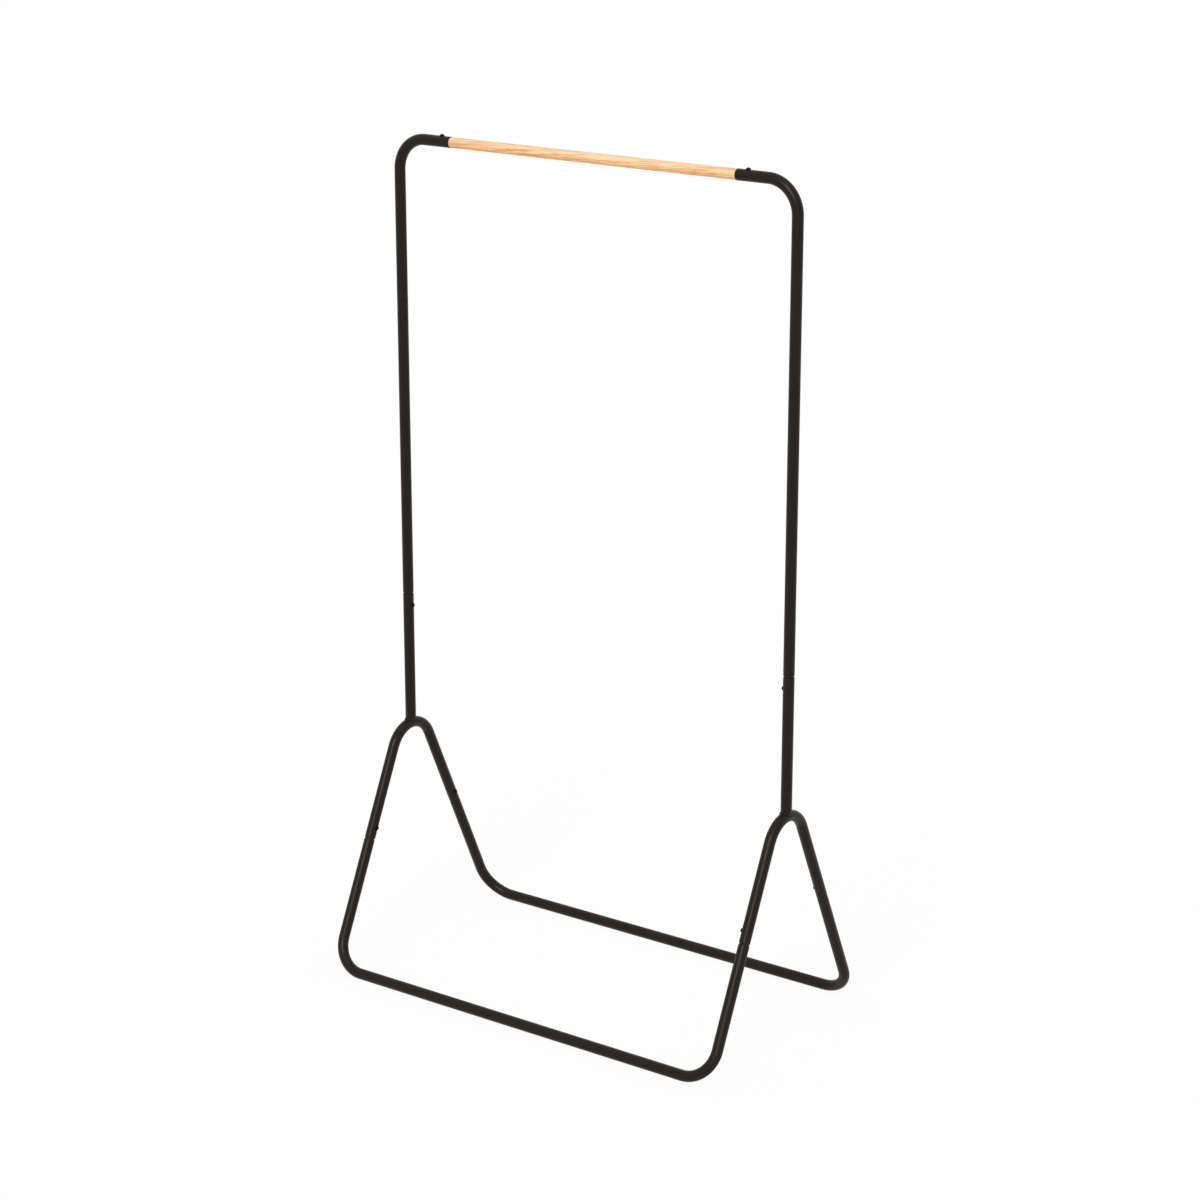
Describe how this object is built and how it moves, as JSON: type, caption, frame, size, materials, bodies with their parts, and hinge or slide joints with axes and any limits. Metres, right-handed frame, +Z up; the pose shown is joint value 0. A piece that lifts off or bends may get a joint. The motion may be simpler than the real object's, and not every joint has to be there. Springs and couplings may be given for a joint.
{
  "type": "clothes rack",
  "caption": "Free-standing clothes rack of bent black tube on inverted-V legs, with a round wooden hanging rail and sprung push-button joints.",
  "frame": {"origin": "on the floor, in the middle of the rack", "axes": "+X along the hanging rail to the right, +Y to the back, +Z up"},
  "size_m": [0.863, 0.486, 1.5535],
  "materials": {
    "black_powder_coat": "satin",
    "natural_wood": "satin",
    "black_button": "gloss",
    "spring_steel": "satin"
  },
  "bodies": {
    "frame": {"wooden_rail": "natural_wood", "upper_post_left": "black_powder_coat", "socket_stub_left": "black_powder_coat", "leg_yoke_left": "black_powder_coat", "weld_bead_left": "black_powder_coat", "upper_post_right": "black_powder_coat", "socket_stub_right": "black_powder_coat", "leg_yoke_right": "black_powder_coat", "weld_bead_right": "black_powder_coat", "floor_rail_front": "black_powder_coat", "floor_rail_back": "black_powder_coat", "rail_clip_left": "spring_steel", "rail_clip_right": "spring_steel", "post_clip_left": "spring_steel", "post_clip_right": "spring_steel", "leg_clip_front_left": "spring_steel", "leg_clip_front_right": "spring_steel", "leg_clip_back_left": "spring_steel", "leg_clip_back_right": "spring_steel"},
    "rail_button_left": {"rail_button_left": "black_button"},
    "rail_button_right": {"rail_button_right": "black_button"},
    "post_button_left": {"post_button_left": "black_button"},
    "post_button_right": {"post_button_right": "black_button"},
    "leg_button_front_left": {"leg_button_front_left": "black_button"},
    "leg_button_front_right": {"leg_button_front_right": "black_button"},
    "leg_button_back_left": {"leg_button_back_left": "black_button"},
    "leg_button_back_right": {"leg_button_back_right": "black_button"}
  },
  "joints": [
    {"name": "rail_button_left_press", "type": "slide", "parent": "frame", "child": "rail_button_left", "axis": [0, 0, -1], "range_m": [0, 0.0049], "stiffness_N_per_m": 3000, "springref_m": -0.001, "deforming": ["rail_clip_left"]},
    {"name": "rail_button_right_press", "type": "slide", "parent": "frame", "child": "rail_button_right", "axis": [0, 0, -1], "range_m": [0, 0.0049], "stiffness_N_per_m": 3000, "springref_m": -0.001, "deforming": ["rail_clip_right"]},
    {"name": "post_button_left_press", "type": "slide", "parent": "frame", "child": "post_button_left", "axis": [-1, 0, 0], "range_m": [0, 0.0049], "stiffness_N_per_m": 3000, "springref_m": -0.001, "deforming": ["post_clip_left"]},
    {"name": "post_button_right_press", "type": "slide", "parent": "frame", "child": "post_button_right", "axis": [1, 0, 0], "range_m": [0, 0.0049], "stiffness_N_per_m": 3000, "springref_m": -0.001, "deforming": ["post_clip_right"]},
    {"name": "leg_button_front_left_press", "type": "slide", "parent": "frame", "child": "leg_button_front_left", "axis": [-1, 0, 0], "range_m": [0, 0.0049], "stiffness_N_per_m": 3000, "springref_m": -0.001, "deforming": ["leg_clip_front_left"]},
    {"name": "leg_button_front_right_press", "type": "slide", "parent": "frame", "child": "leg_button_front_right", "axis": [1, 0, 0], "range_m": [0, 0.0049], "stiffness_N_per_m": 3000, "springref_m": -0.001, "deforming": ["leg_clip_front_right"]},
    {"name": "leg_button_back_left_press", "type": "slide", "parent": "frame", "child": "leg_button_back_left", "axis": [-1, 0, 0], "range_m": [0, 0.0049], "stiffness_N_per_m": 3000, "springref_m": -0.001, "deforming": ["leg_clip_back_left"]},
    {"name": "leg_button_back_right_press", "type": "slide", "parent": "frame", "child": "leg_button_back_right", "axis": [1, 0, 0], "range_m": [0, 0.0049], "stiffness_N_per_m": 3000, "springref_m": -0.001, "deforming": ["leg_clip_back_right"]}
  ]
}
